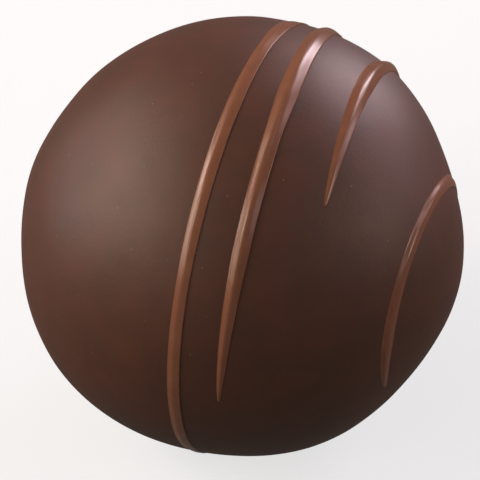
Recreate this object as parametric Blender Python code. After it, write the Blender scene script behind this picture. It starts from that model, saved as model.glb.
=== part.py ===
"""A chocolate bonbon: a hand-rolled ball dipped in dark chocolate, with four strings
of milk chocolate drizzled across it in one direction.

Metres, +Z up. The origin is the middle of the flat foot that the bonbon rests on,
and the front, where three of the strings end in points, faces -Y.
"""

from math import cos, exp, pi, radians, sin, sqrt

import bmesh
import bpy
from mathutils import Vector

MM = 0.001

# The ball, in millimetres and degrees
BALL_RADIUS = 15.29  # out to its fullest places
FOOT_RADIUS = 5.5  # the flat spot on which the dipped ball set
BALL_SUBDIVISIONS = 5

# Where rolling and dipping left the ball less full: bearing counted from +X towards +Y,
# elevation above the middle, depth at the centre of the place, and how far it spreads.
# A place with a negative depth is fuller.
PRESSED_PLACES = [
    {"bearing": 14, "elevation": 11, "depth": 0.39, "spread": 18},
    {"bearing": 132, "elevation": 36, "depth": 0.40, "spread": 24},
    {"bearing": 156, "elevation": 25, "depth": 0.25, "spread": 12},
    {"bearing": 178, "elevation": 2, "depth": 0.39, "spread": 24},
    {"bearing": 259, "elevation": -42, "depth": 0.52, "spread": 30},
    {"bearing": 327, "elevation": -26, "depth": 0.47, "spread": 23},
    {"bearing": 285, "elevation": 42, "depth": 0.18, "spread": 24},
    {"bearing": 50, "elevation": -22, "depth": 0.38, "spread": 25},
    {"bearing": 88, "elevation": 30, "depth": 0.27, "spread": 24},
    {"bearing": 73, "elevation": 41, "depth": 0.12, "spread": 7},
    {"bearing": 40, "elevation": 31, "depth": -0.08, "spread": 9},
]

# Each string lies in an upright plane, like a thread that falls from a moving bag.
# beside: the plane's distance from the middle of the ball
# turn, lean: where the plane's normal points, as bearing and elevation
# rear, front: where the string ends, in degrees over its own circle from the highest
#   point, with the front positive
# width: how wide the string is at places along it, as (degrees, millimetres)
# rise: its height as a share of half its width, at places along it
# tips: how many degrees the string takes to thin out at the rear and at the front
STRINGS = [
    {
        "beside": 0.68, "turn": -19.6, "lean": 1.9, "rear": -66, "front": 146,
        "width": [(-40, 1.13), (-15, 0.90), (10, 0.98), (35, 0.97), (60, 0.87), (110, 0.86)],
        "rise": [(-30, 0.14), (5, 0.30), (50, 0.30), (75, 0.22)],
        "tips": (30, 28),
    },
    {
        "beside": 2.8, "turn": -16.2, "lean": -1.4, "rear": -90, "front": 88,
        "width": [(-22, 1.29), (-3, 1.37), (14, 1.14), (45, 1.12)],
        "rise": [(-30, 0.44), (-5, 0.52), (20, 0.42)],
        "tips": (36, 44),
    },
    {
        "beside": 7.94, "turn": -15.0, "lean": 2.4, "rear": -104, "front": 29,
        "width": [(-60, 1.10), (-20, 1.28)],
        "rise": [(-40, 0.58), (-10, 0.46)],
        "tips": (30, 48),
    },
    {
        "beside": 13.24, "turn": -21.0, "lean": 0.2, "rear": -78, "front": 109,
        "width": [(-5, 0.88), (34, 0.88), (66, 0.94)],
        "rise": [(0, 0.32)],
        "tips": (30, 34),
    },
]
STRING_STEP = 1.0  # spacing of a string's points along it
STRING_ROUNDNESS = 6  # bevel resolution of its round section
TIP_POWER = 0.5  # a tip is as round-nosed as a parabola
TIP_INSET = 0.5  # the end keeps the width that the string has this many degrees inside it
SUNK_TIP = 0.12  # how far the end lies below the surface
WELD_DISTANCE = 0.001

SMOOTH_ANGLE = 40

# The coating's colour, as linear RGB, and its sheen
DARK_CHOCOLATE = {"name": "dark_chocolate", "color": (0.074, 0.031, 0.020, 1), "roughness": 0.50}


def direction(bearing, elevation):
    """The unit vector that points to a bearing and an elevation, both in degrees."""
    around = radians(bearing)
    above = radians(elevation)
    return Vector((cos(above) * cos(around), cos(above) * sin(around), sin(above)))


def ball_radius(outward):
    """The uneven ball's radius in millimetres along a unit vector from its middle."""
    radius = BALL_RADIUS
    for place in PRESSED_PLACES:
        away = outward.angle(direction(place["bearing"], place["elevation"]), 0)
        reach = away / radians(place["spread"])
        radius -= place["depth"] * exp(-(reach**2))
    return radius


def middle_height():
    """The height of the ball's middle above its foot, in millimetres."""
    below = ball_radius(Vector((0, 0, -1)))
    return sqrt(below**2 - FOOT_RADIUS**2)


def between(places, angle):
    """Eases from one listed (angle, value) to the next, and keeps the end values outside."""
    value = places[0][1]
    for (near, near_value), (far, far_value) in zip(places, places[1:]):
        share = min(max((angle - near) / (far - near), 0), 1)
        value += (far_value - near_value) * (1 - cos(pi * share)) / 2
    return value


def string_width(string, angle):
    """A string's width in millimetres at an angle over its circle, thinned at its tips."""
    rear_tip, front_tip = string["tips"]
    rear_share = min((angle - string["rear"]) / rear_tip, 1)
    front_share = min((string["front"] - angle) / front_tip, 1)
    return between(string["width"], angle) * (rear_share * front_share) ** TIP_POWER


def string_point(string, angle):
    """The unit vector from the ball's middle to a string, at an angle over its circle."""
    beside = direction(string["turn"], string["lean"])
    up = (Vector((0, 0, 1)) - beside.z * beside).normalized()
    front = beside.cross(up)
    share = string["beside"] / BALL_RADIUS
    around = up * cos(radians(angle)) + front * sin(radians(angle))
    return beside * share + around * sqrt(1 - share**2)


def add_string(string, number):
    """A round bead sunk so far that the part above the ball has the string's width and rise."""
    circle_radius = sqrt(BALL_RADIUS**2 - string["beside"] ** 2)
    length = radians(string["front"] - string["rear"]) * circle_radius
    count = round(length / STRING_STEP)
    curve = bpy.data.curves.new(f"string_{number}", "CURVE")
    curve.dimensions = "3D"
    curve.bevel_depth = MM
    curve.bevel_resolution = STRING_ROUNDNESS
    curve.use_fill_caps = True
    spline = curve.splines.new("POLY")
    spline.points.add(count)
    middle = Vector((0, 0, middle_height()))
    for step, point in enumerate(spline.points):
        angle = string["rear"] + (string["front"] - string["rear"]) * step / count
        inside = min(max(angle, string["rear"] + TIP_INSET), string["front"] - TIP_INSET)
        half = string_width(string, inside) / 2
        rise = between(string["rise"], angle) * half
        section = (half**2 + rise**2) / (2 * rise)
        depth = section - rise
        if step in (0, count):
            depth = section + SUNK_TIP
        outward = string_point(string, angle)
        place = middle + outward * (ball_radius(outward) - depth)
        point.co = (place * MM).to_4d()
        point.radius = section
    bead = bpy.data.objects.new(f"string_{number}_path", curve)
    bpy.context.scene.collection.objects.link(bead)
    bpy.context.view_layer.update()
    return as_closed_mesh(bead, f"string_{number}")


def as_closed_mesh(path, name):
    """The evaluated curve as a mesh object, with its caps welded, in the curve's place."""
    evaluated = path.evaluated_get(bpy.context.evaluated_depsgraph_get())
    mesh = bpy.data.meshes.new_from_object(evaluated)
    mesh.name = name
    body = bmesh.new()
    body.from_mesh(mesh)
    bmesh.ops.remove_doubles(body, verts=body.verts, dist=WELD_DISTANCE * MM)
    bmesh.ops.recalc_face_normals(body, faces=body.faces)
    body.to_mesh(mesh)
    body.free()
    piece = bpy.data.objects.new(name, mesh)
    piece.matrix_world = path.matrix_world.copy()
    bpy.context.scene.collection.objects.link(piece)
    bpy.data.objects.remove(path)
    return piece


def add_ball(name):
    """The uneven ball, cut flat at the foot."""
    mesh = bpy.data.meshes.new(name)
    body = bmesh.new()
    bmesh.ops.create_icosphere(body, subdivisions=BALL_SUBDIVISIONS, radius=1)
    height = middle_height()
    for vertex in body.verts:
        outward = vertex.co.normalized()
        vertex.co = (outward * ball_radius(outward) + Vector((0, 0, height))) * MM
    everything = list(body.verts) + list(body.edges) + list(body.faces)
    cut = bmesh.ops.bisect_plane(
        body, geom=everything, plane_co=(0, 0, 0), plane_no=(0, 0, 1), clear_inner=True
    )
    rim = [part for part in cut["geom_cut"] if isinstance(part, bmesh.types.BMEdge)]
    bmesh.ops.contextual_create(body, geom=rim)
    bmesh.ops.recalc_face_normals(body, faces=body.faces)
    body.to_mesh(mesh)
    body.free()
    return bpy.data.objects.new(name, mesh)


def chocolate(finish):
    """A Principled material of one chocolate."""
    material = bpy.data.materials.new(finish["name"])
    material.use_nodes = True
    shader = material.node_tree.nodes["Principled BSDF"]
    shader.inputs["Base Color"].default_value = finish["color"]
    shader.inputs["Roughness"].default_value = finish["roughness"]
    shader.inputs["Metallic"].default_value = 0
    return material


def fuse(piece, additions):
    """Joins the strings to the ball by one union on a collection, which is then removed."""
    toppings = bpy.data.collections.new("strings")
    bpy.context.scene.collection.children.link(toppings)
    for addition in additions:
        bpy.context.scene.collection.objects.unlink(addition)
        toppings.objects.link(addition)
    union = piece.modifiers.new("strings", "BOOLEAN")
    union.operation = "UNION"
    union.operand_type = "COLLECTION"
    union.collection = toppings
    union.solver = "EXACT"
    with bpy.context.temp_override(object=piece, active_object=piece):
        bpy.ops.object.modifier_apply(modifier=union.name)
    for addition in additions:
        bpy.data.objects.remove(addition)
    bpy.data.collections.remove(toppings)


def build():
    for leftover in list(bpy.data.objects):
        bpy.data.objects.remove(leftover)
    parts = bpy.data.collections.new("chocolate_bonbon")
    bpy.context.scene.collection.children.link(parts)

    bonbon = add_ball("bonbon")
    parts.objects.link(bonbon)
    bonbon.data.materials.append(chocolate(DARK_CHOCOLATE))
    strings = [add_string(string, number) for number, string in enumerate(STRINGS, 1)]
    fuse(bonbon, strings)
    bonbon.data.shade_smooth()
    bonbon.data.set_sharp_from_angle(angle=radians(SMOOTH_ANGLE))


build()
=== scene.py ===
"""A chocolate bonbon: a hand-rolled ball dipped in dark chocolate and drizzled with milk chocolate.

The bonbon stands on its foot at the origin, +Z up, with the strings' points to the front at -Y.
"""

from math import cos, exp, log, pi, radians, sin, sqrt, tau

import bpy
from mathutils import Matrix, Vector, noise


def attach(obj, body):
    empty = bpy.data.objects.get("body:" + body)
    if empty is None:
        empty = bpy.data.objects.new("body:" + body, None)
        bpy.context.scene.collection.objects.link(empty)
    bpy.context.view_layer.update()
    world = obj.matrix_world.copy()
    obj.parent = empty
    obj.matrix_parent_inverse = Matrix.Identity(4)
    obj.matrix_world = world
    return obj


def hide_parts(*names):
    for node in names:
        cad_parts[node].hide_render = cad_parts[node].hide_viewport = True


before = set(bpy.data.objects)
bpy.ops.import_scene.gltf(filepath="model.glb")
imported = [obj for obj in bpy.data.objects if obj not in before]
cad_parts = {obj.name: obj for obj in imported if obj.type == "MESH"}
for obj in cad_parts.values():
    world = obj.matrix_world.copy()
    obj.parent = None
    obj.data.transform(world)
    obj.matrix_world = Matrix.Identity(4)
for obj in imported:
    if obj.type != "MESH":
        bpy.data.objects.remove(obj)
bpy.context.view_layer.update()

# The camera: a long lens a good way off, which looks down on the ball from the front.
# The ball's middle stands a little right of and above the middle of the picture.
MM = 0.001
CAMERA_ELEVATION = 47.5
CAMERA_DISTANCE = 450 * MM
LENS = 499.0  # its focal length in millimetres
AIM_LEFT = 0.06 * MM
AIM_LOW = 0.14 * MM
BALL_MIDDLE = Vector((0, 0, 14.22)) * MM
NEAREST = 10 * MM  # what the camera sees lies between these two distances
FURTHEST = 10_000 * MM

tilt = radians(CAMERA_ELEVATION)
to_camera = Vector((0, -cos(tilt), sin(tilt)))
camera_up = Vector((0, sin(tilt), cos(tilt)))
aim = Vector((-AIM_LEFT, 0, 0)) - camera_up * AIM_LOW
camera = bpy.data.objects.new("camera", bpy.data.cameras.new("camera"))
camera.data.lens = LENS
camera.data.clip_start = NEAREST
camera.data.clip_end = FURTHEST
camera.location = BALL_MIDDLE + to_camera * CAMERA_DISTANCE + aim
camera.rotation_euler = (pi / 2 - tilt, 0, 0)
bpy.context.scene.collection.objects.link(camera)
bpy.context.scene.camera = camera

# The dipped ball: a soft centre rolled between the palms, so it is round but not true, with
# pressed places between fuller ones. It was dipped in tempered dark chocolate, and set with a
# flat foot on a sheet. Its sizes are in millimetres.
BALL_RADIUS = 15.29
FOOT_RADIUS = 5.5
SKIN = 0.05  # the smooth coating lies this far inside the facets of its solid
RIPPLE = 0.022  # the coating flowed a little before it set
RIPPLE_SPACING = 2.6
FOOT_ROUNDING = 0.16
ROUNDING_ENDS = 20  # this many roundings above the foot, its rounded turn has long ended
BALL_SUBDIVISIONS = 7
PRESSED_PLACES = [  # bearing and elevation, depth, and spread in degrees
    (14, 11, 0.39, 18),
    (132, 36, 0.40, 24),
    (156, 25, 0.25, 12),
    (178, 2, 0.39, 24),
    (259, -42, 0.52, 30),
    (327, -26, 0.47, 23),
    (285, 42, 0.18, 24),
    (50, -22, 0.38, 25),
    (88, 30, 0.27, 24),
    (73, 41, 0.12, 7),
    (40, 31, -0.08, 9),  # a fuller place
]


def direction(bearing, elevation):
    """The unit vector that points to a bearing and an elevation, both in degrees."""
    around = radians(bearing)
    above = radians(elevation)
    return Vector((cos(above) * cos(around), cos(above) * sin(around), sin(above)))


def ball_radius(outward):
    """The uneven ball's radius along a unit vector from its middle."""
    radius = BALL_RADIUS
    for bearing, elevation, depth, spread in PRESSED_PLACES:
        away = outward.angle(direction(bearing, elevation), 0)
        radius -= depth * exp(-((away / radians(spread)) ** 2))
    return radius


def coating_radius(outward):
    """The coating's radius, with the faint ripples that it set with."""
    ripple = noise.noise(outward * (BALL_RADIUS / RIPPLE_SPACING))
    return ball_radius(outward) - SKIN + RIPPLE * ripple


BALL_HEIGHT = sqrt(ball_radius(Vector((0, 0, -1))) ** 2 - FOOT_RADIUS**2)


def soft_floor(height, rounding):
    """A height that never falls below the foot, with a rounded turn there."""
    if height > ROUNDING_ENDS * rounding:
        return height
    return rounding * log(1 + exp(height / rounding))


bpy.ops.object.select_all(action="DESELECT")
bpy.ops.mesh.primitive_ico_sphere_add(subdivisions=BALL_SUBDIVISIONS, radius=1)
ball = bpy.context.object
ball.name = "dipped_ball"
for vertex in ball.data.vertices:
    outward = vertex.co.normalized()
    place = outward * coating_radius(outward) + Vector((0, 0, BALL_HEIGHT))
    place.z = soft_floor(place.z, FOOT_ROUNDING)
    vertex.co = place * MM
bpy.ops.object.shade_smooth()

# Tempered dark couverture: it sets with a satin skin, dark brown with a trace of red. It keeps
# faint clouds from the dipping, a few pale specks of cocoa butter, and a fine grain that breaks
# up its highlight.
DARK = "#4a3025"
DARK_CLOUD = "#523226"
SPECK = "#755b4e"
DARK_ROUGHNESS = 0.50
CHOCOLATE_IOR = 1.48
CLOUD_SPACING = 2.4 * MM
CLOUDS_FROM = 0.35  # the clouds come up over this stretch of their noise
CLOUDS_TO = 0.65
SPECK_SPACING = 0.9 * MM
SPECK_REACH = 0.085  # a speck's radius as a share of the spacing
SPECK_CHANCE = 0.3
GRAIN_SPACING = 0.25 * MM  # the coarsest of its four sizes, each half of the one before
GRAIN_DEPTH = 0.010 * MM


def linear(hex_color):
    """An sRGB hex colour as the linear RGBA that a shader takes."""
    channels = [int(hex_color[place : place + 2], 16) / 255 for place in (1, 3, 5)]
    light = [c / 12.92 if c <= 0.04045 else ((c + 0.055) / 1.055) ** 2.4 for c in channels]
    return (*light, 1)


def add_node(tree, kind, inputs, **options):
    """Adds a node with its options, and with each input set to a value or fed by a socket."""
    node = tree.nodes.new(kind)
    for name, value in options.items():
        setattr(node, name, value)
    for name, value in inputs.items():
        if isinstance(value, bpy.types.NodeSocket):
            tree.links.new(value, node.inputs[name])
        else:
            node.inputs[name].default_value = value
    return node


def add_noise(tree, spots, spacing, detail, roughness):
    """Soft noise over the surface, whose coarsest size is the spacing, in metres."""
    inputs = {"Vector": spots, "Scale": 1 / spacing, "Detail": detail, "Roughness": roughness}
    return add_node(tree, "ShaderNodeTexNoise", inputs).outputs["Fac"]


def stretch(tree, value, low, high, new_low=0, new_high=1, **options):
    """Turns low into new_low and high into new_high, and holds what lies outside at them."""
    inputs = {"Value": value, "From Min": low, "From Max": high, "To Min": new_low, "To Max": new_high}
    return add_node(tree, "ShaderNodeMapRange", inputs, **options).outputs["Result"]


def mix_colors(tree, share, first, second):
    """The first colour where the share is 0, and the second where it is 1."""
    factor, color_a, color_b, result = 0, 6, 7, 2  # the places of the node's colour sockets
    inputs = {factor: share, color_a: first, color_b: second}
    return add_node(tree, "ShaderNodeMix", inputs, data_type="RGBA").outputs[result]


couverture = bpy.data.materials.new("tempered_dark_couverture")
couverture.use_nodes = True
tree = couverture.node_tree
shader = tree.nodes["Principled BSDF"]
shader.inputs["IOR"].default_value = CHOCOLATE_IOR
shader.inputs["Roughness"].default_value = DARK_ROUGHNESS
spots = add_node(tree, "ShaderNodeTexCoord", {}).outputs["Object"]
clouds = add_noise(tree, spots, CLOUD_SPACING, detail=3, roughness=0.55)
cloud_share = stretch(tree, clouds, CLOUDS_FROM, CLOUDS_TO)
clouded = mix_colors(tree, cloud_share, linear(DARK), linear(DARK_CLOUD))
cells = add_node(tree, "ShaderNodeTexVoronoi", {"Vector": spots, "Scale": 1 / SPECK_SPACING})
near_speck = stretch(tree, cells.outputs["Distance"], SPECK_REACH, SPECK_REACH / 2)
has_speck = add_node(
    tree, "ShaderNodeMath", {0: cells.outputs["Color"], 1: SPECK_CHANCE}, operation="LESS_THAN"
)
speck_share = add_node(
    tree, "ShaderNodeMath", {0: near_speck, 1: has_speck.outputs["Value"]}, operation="MULTIPLY"
)
speckled = mix_colors(tree, speck_share.outputs["Value"], clouded, linear(SPECK))
tree.links.new(speckled, shader.inputs["Base Color"])
grain = add_noise(tree, spots, GRAIN_SPACING, detail=3, roughness=0.5)
bump = add_node(tree, "ShaderNodeBump", {"Height": grain, "Distance": GRAIN_DEPTH, "Strength": 1.0})
tree.links.new(bump.outputs["Normal"], shader.inputs["Normal"])
ball.data.materials.append(couverture)
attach(ball, "root")
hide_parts("bonbon")

# The strings: milk chocolate let run from a small bag that was swept over the ball, so each
# lies in one upright plane. It set as a soft bead, thin at both ends where the bag passed on,
# which crept out flat on its left and ends in a small steep wall on its right.
SECTION_POINTS = 48
RING_SPACING = 0.20
FIRST_RADIUS = 0.1  # of the plain circle that is spun, before its rings are shaped
BED = 0.10  # how deep the underside of a string reaches into the coating
SHALLOW_BED = 0.3  # a string with less than this half width has a shallower bed
WAVER = 0.015  # its width wavers by this share
WAVER_SPACING = 2.0
TIP_POWER = 0.5  # a tip is as round-nosed as a parabola
TIP_INSET = 0.5  # the end keeps the width that the string has this many degrees inside it
NEARLY_ZERO = 0.01  # a sine as small as this is a rounding error at one of the two edges

# The section's sizes, as shares of half its width
EDGE = 0.06  # how far the mesh runs on under the coating past each visible edge
EDGE_DEPTH = 0.03
RIGHT_WALL = 0.18
LEFT_SOFTNESS = 0.75  # how far each side turns from a round bead into a soft swell
RIGHT_SOFTNESS = 0.55

# Each string's plane: how far it lies from the ball's middle, and the bearing and elevation
# of its normal. Then in degrees over the string's circle, from its highest point with the
# front positive: its two ends, its widths, its rises as shares of half its width, and how
# long it takes to thin out at the rear and at the front.
STRINGS = [
    {
        "name": "string_left", "beside": 0.68, "turn": -19.6, "lean": 1.9, "rear": -66, "front": 146,
        "width": [(-40, 1.13), (-15, 0.90), (10, 0.98), (35, 0.97), (60, 0.87), (110, 0.86)],
        "rise": [(-30, 0.14), (5, 0.30), (50, 0.30), (75, 0.22)],
        "tips": (30, 28),
    },
    {
        "name": "string_middle", "beside": 2.8, "turn": -16.2, "lean": -1.4, "rear": -90, "front": 88,
        "width": [(-22, 1.29), (-3, 1.37), (14, 1.14), (45, 1.12)],
        "rise": [(-30, 0.44), (-5, 0.52), (20, 0.42)],
        "tips": (36, 44),
    },
    {
        "name": "string_short", "beside": 7.94, "turn": -15.0, "lean": 2.4, "rear": -104, "front": 29,
        "width": [(-60, 1.10), (-20, 1.28)],
        "rise": [(-40, 0.58), (-10, 0.46)],
        "tips": (30, 48),
    },
    {
        "name": "string_right", "beside": 13.24, "turn": -21.0, "lean": 0.2, "rear": -78, "front": 109,
        "width": [(-5, 0.88), (34, 0.88), (66, 0.94)],
        "rise": [(0, 0.32)],
        "tips": (30, 34),
    },
]


def between(places, angle):
    """Eases from one listed (angle, value) to the next, and keeps the end values outside."""
    value = places[0][1]
    for (near, near_value), (far, far_value) in zip(places, places[1:]):
        share = min(max((angle - near) / (far - near), 0), 1)
        value += (far_value - near_value) * (1 - cos(pi * share)) / 2
    return value


def string_width(string, angle):
    """A string's width at an angle over its circle, thinned at its tips."""
    inside = min(max(angle, string["rear"] + TIP_INSET), string["front"] - TIP_INSET)
    rear_tip, front_tip = string["tips"]
    rear_share = min((inside - string["rear"]) / rear_tip, 1)
    front_share = min((string["front"] - inside) / front_tip, 1)
    return between(string["width"], inside) * (rear_share * front_share) ** TIP_POWER


def section_height(across, rise):
    """How high the bead stands at a place across it, all as shares of half its width."""
    edge, softness = (RIGHT_WALL, RIGHT_SOFTNESS) if across > 0 else (0, LEFT_SOFTNESS)
    if abs(across) > 1:
        return edge - (edge + EDGE_DEPTH) * (abs(across) - 1) / EDGE
    radius = (1 + rise**2) / (2 * rise)
    arc = sqrt(radius**2 - across**2) - (radius - rise)
    swell = rise * (1 + cos(pi * across)) / 2
    return edge + (arc + (swell - arc) * softness) * (1 - edge / rise)


def string_axes(string):
    """The unit vectors of a string's circle: beside its plane, up in it and forward in it."""
    beside = direction(string["turn"], string["lean"])
    up = (Vector((0, 0, 1)) - beside.z * beside).normalized()
    return beside, up, beside.cross(up)


def spin_string(string, rings):
    """A thin round tube over the string's arc, with its rings one after another in the mesh."""
    beside, up, front = string_axes(string)
    rear = radians(string["rear"])
    arc = radians(string["front"] - string["rear"])
    start = up * cos(rear) + front * sin(rear)
    along = front * cos(rear) - up * sin(rear)
    bpy.ops.object.select_all(action="DESELECT")
    bpy.ops.mesh.primitive_circle_add(
        vertices=SECTION_POINTS,
        radius=FIRST_RADIUS * MM,
        fill_type="NGON",
        location=start * BALL_RADIUS * MM,
        rotation=along.to_track_quat("Z", "Y").to_euler(),
    )
    bpy.ops.object.transform_apply(location=True, rotation=True, scale=True)
    bpy.ops.object.mode_set(mode="EDIT")
    bpy.ops.mesh.select_all(action="SELECT")
    bpy.ops.mesh.spin(steps=rings, angle=-arc, center=(0, 0, 0), axis=tuple(beside))
    bpy.ops.object.mode_set(mode="OBJECT")
    return bpy.context.object


def add_string(string):
    """A spun tube whose rings are laid on the coating and given the string's section."""
    beside, up, front = string_axes(string)
    share = string["beside"] / BALL_RADIUS
    circle = sqrt(1 - share**2)
    length = radians(string["front"] - string["rear"]) * circle * BALL_RADIUS
    rings = round(length / RING_SPACING)
    piece = spin_string(string, rings)
    piece.name = string["name"]

    for vertex in piece.data.vertices:
        ring, spot = divmod(vertex.index, SECTION_POINTS)
        angle = string["rear"] + (string["front"] - string["rear"]) * ring / rings
        around = up * cos(radians(angle)) + front * sin(radians(angle))
        middle = beside * share + around * circle
        sideways = (beside - beside.dot(middle) * middle).normalized()
        waver = 1 + WAVER * noise.noise(middle * (BALL_RADIUS / WAVER_SPACING))
        half = string_width(string, angle) / 2 * waver
        turn = tau * spot / SECTION_POINTS
        across = (1 + EDGE) * cos(turn)
        if sin(turn) < -NEARLY_ZERO:
            height = -EDGE_DEPTH * half + BED * sin(turn) * min(1, half / SHALLOW_BED)
        else:
            height = section_height(across, between(string["rise"], angle)) * half
        spread = across * half / BALL_RADIUS
        outward = middle * cos(spread) + sideways * sin(spread)
        place = outward * (coating_radius(outward) + height) + Vector((0, 0, BALL_HEIGHT))
        vertex.co = place * MM
    bpy.ops.object.mode_set(mode="EDIT")
    bpy.ops.mesh.select_all(action="SELECT")
    bpy.ops.mesh.normals_make_consistent(inside=False)
    bpy.ops.object.mode_set(mode="OBJECT")
    bpy.ops.object.shade_smooth()
    return piece


# Tempered milk chocolate: lighter and more orange than the coating, and glossier because it
# set in the air. Its skin dulls in patches, and shows faint streaks where it was still running.
MILK = "#774f3b"
MILK_STREAK = "#805641"
STREAK_SPACING = 1.1 * MM
MILK_GLOSSY = 0.22
MILK_DULL = 0.27
PATCH_SPACING = 1.6 * MM
MOST_NOISE = (0.2, 0.8)  # nearly all of the noise lies between these

milk = bpy.data.materials.new("tempered_milk_chocolate")
milk.use_nodes = True
tree = milk.node_tree
shader = tree.nodes["Principled BSDF"]
shader.inputs["IOR"].default_value = CHOCOLATE_IOR
spots = add_node(tree, "ShaderNodeTexCoord", {}).outputs["Object"]
streaks = add_noise(tree, spots, STREAK_SPACING, detail=1, roughness=0.4)
streak_share = stretch(tree, streaks, *MOST_NOISE)
streaky = mix_colors(tree, streak_share, linear(MILK), linear(MILK_STREAK))
tree.links.new(streaky, shader.inputs["Base Color"])
patches = add_noise(tree, spots, PATCH_SPACING, detail=1, roughness=0.4)
dullness = stretch(tree, patches, *MOST_NOISE, MILK_GLOSSY, MILK_DULL)
tree.links.new(dullness, shader.inputs["Roughness"])
for string in STRINGS:
    piece = add_string(string)
    piece.data.materials.append(milk)
    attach(piece, "root")
    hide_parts("bonbon")

# The table: a white acrylic sheet lit from below, so the shadow on it stays pale. All round it
# curves up into a wall of the same white, which closes the picture when the camera stands low.
TABLE_RADIUS = 700 * MM
TABLE_SIDES = 96
SWEEP_RADIUS = 200 * MM
SWEEP_STEPS = 8
WALL_HEIGHT = 900 * MM

bpy.ops.object.select_all(action="DESELECT")
bpy.ops.mesh.primitive_circle_add(vertices=TABLE_SIDES, radius=TABLE_RADIUS, fill_type="NGON")
table = bpy.context.object
table.name = "table"
table.visible_diffuse = False
table.visible_glossy = False

bpy.ops.object.select_all(action="DESELECT")
bpy.ops.mesh.primitive_circle_add(vertices=TABLE_SIDES, radius=TABLE_RADIUS)
wall = bpy.context.object
wall.name = "white_wall"
bpy.ops.object.mode_set(mode="EDIT")
bpy.ops.mesh.select_all(action="SELECT")
for step in range(1, SWEEP_STEPS + 1):
    last_turn = radians(90) * (step - 1) / SWEEP_STEPS
    turn = radians(90) * step / SWEEP_STEPS
    climb = SWEEP_RADIUS * (cos(last_turn) - cos(turn))
    growth = (TABLE_RADIUS + SWEEP_RADIUS * sin(turn)) / (TABLE_RADIUS + SWEEP_RADIUS * sin(last_turn))
    bpy.ops.mesh.extrude_edges_move(TRANSFORM_OT_translate={"value": (0, 0, climb)})
    bpy.ops.transform.resize(value=(growth, growth, 1))
bpy.ops.mesh.extrude_edges_move(TRANSFORM_OT_translate={"value": (0, 0, WALL_HEIGHT)})
bpy.ops.object.mode_set(mode="OBJECT")
bpy.ops.object.shade_smooth()
wall.visible_diffuse = False
wall.visible_glossy = False
wall.visible_shadow = False

# Backlit acrylic: a dull white that takes a pale shadow near the bonbon, and further out only
# glows, so that it ends in pure white.
ACRYLIC = "#dae6ee"
ACRYLIC_ROUGHNESS = 0.9
GLOW = "#fbfbfb"
GLOW_STRENGTH = 1.15
GLOW_NEAR = 0.6  # the glow's share round the bonbon, which grows to 1
GLOW_GROWS_FROM = 40 * MM
GLOW_GROWS_TO = 250 * MM

acrylic = bpy.data.materials.new("backlit_white_acrylic")
acrylic.use_nodes = True
tree = acrylic.node_tree
shader = tree.nodes["Principled BSDF"]
shader.inputs["Base Color"].default_value = linear(ACRYLIC)
shader.inputs["Roughness"].default_value = ACRYLIC_ROUGHNESS
spots = add_node(tree, "ShaderNodeTexCoord", {}).outputs["Object"]
reach = add_node(tree, "ShaderNodeVectorMath", {0: spots}, operation="LENGTH").outputs["Value"]
glow_share = stretch(
    tree, reach, GLOW_GROWS_FROM, GLOW_GROWS_TO, GLOW_NEAR, interpolation_type="SMOOTHSTEP"
)
glow = add_node(tree, "ShaderNodeEmission", {"Color": linear(GLOW), "Strength": GLOW_STRENGTH})
sheet = add_node(
    tree, "ShaderNodeMixShader", {0: glow_share, 1: shader.outputs["BSDF"], 2: glow.outputs["Emission"]}
)
tree.links.new(sheet.outputs["Shader"], tree.nodes["Material Output"].inputs["Surface"])
table.data.materials.append(acrylic)
wall.data.materials.append(acrylic)

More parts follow.
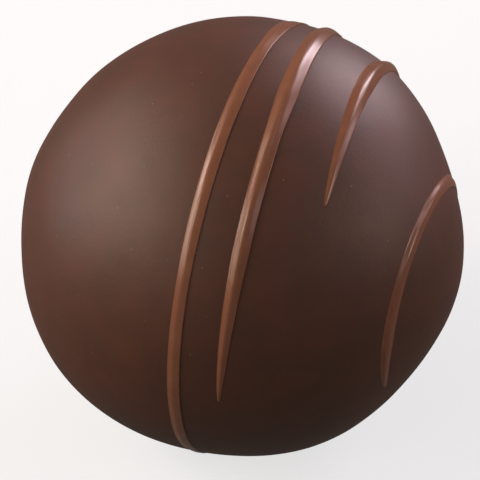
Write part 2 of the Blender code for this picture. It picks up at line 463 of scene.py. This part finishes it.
# The light: round softboxes in a pale, warm room. The key's make up one wide soft light on the
# left. The window's are a bright strip at the rear right, whose rose light gives the strings
# there their pale streaks. The fill's brighten the right side, and the front ones are weak.
SOFTBOX_WIDTH = 120 * MM
SOFTBOX_DISTANCE = 400 * MM
WARM = "#ffdecf"
PALE_WARM = "#ffead6"
ROSE = "#ffdfe7"
PALE_ROSE = "#ffe8f0"
COOL = "#e9f3ff"
SOFTBOXES = [  # name, bearing and elevation, power in watts, colour
    ("key", 166, 36, 0.50, WARM),
    ("key_front", -163, 21, 0.19, PALE_WARM),
    ("key_front_high", -157, 45, 0.29, PALE_WARM),
    ("key_inner", -178, 28, 0.26, PALE_WARM),
    ("key_low", 173, 11, 0.24, WARM),
    ("key_floor", 170, 1, 0.11, COOL),
    ("key_rear", 138, 24, 0.24, WARM),
    ("key_rear_high", 150, 50, 0.14, PALE_WARM),
    ("key_rear_low", 148, 4, 0.11, COOL),
    ("front_left", -140, 30, 0.15, PALE_WARM),
    ("front_right", -35, 35, 0.06, PALE_ROSE),
    ("fill_right", -8, 19, 0.28, WARM),
    ("fill_rear", 15, 30, 0.11, ROSE),
    ("fill_low", 20, 8, 0.13, ROSE),
    ("fill_top", 10, 60, 0.03, COOL),
    ("window", 42, 24, 0.20, ROSE),
    ("window_low", 46, 10, 0.15, ROSE),
    ("window_rear", 60, 20, 0.37, PALE_ROSE),
    ("window_rear_low", 58, 6, 0.36, PALE_ROSE),
    ("window_far", 77, 12, 0.04, PALE_ROSE),
]
ROOM = "#fff2e6"
ROOM_STRENGTH = 0.138


def add_softbox(name, bearing, elevation, power, color):
    """A round softbox that faces the ball from a bearing and an elevation."""
    light = bpy.data.lights.new(name, "AREA")
    light.shape = "DISK"
    light.size = SOFTBOX_WIDTH
    light.energy = power
    light.color = linear(color)[:3]
    box = bpy.data.objects.new(name, light)
    back = direction(bearing, elevation)
    box.location = BALL_MIDDLE + back * SOFTBOX_DISTANCE
    box.rotation_euler = back.to_track_quat("Z", "Y").to_euler()
    box.visible_camera = False
    bpy.context.scene.collection.objects.link(box)


for softbox in SOFTBOXES:
    add_softbox(*softbox)

room = bpy.data.worlds.new("studio")
room.use_nodes = True
room.node_tree.nodes["Background"].inputs["Color"].default_value = linear(ROOM)
room.node_tree.nodes["Background"].inputs["Strength"].default_value = ROOM_STRENGTH
bpy.context.scene.world = room
bpy.context.scene.view_settings.view_transform = "Standard"
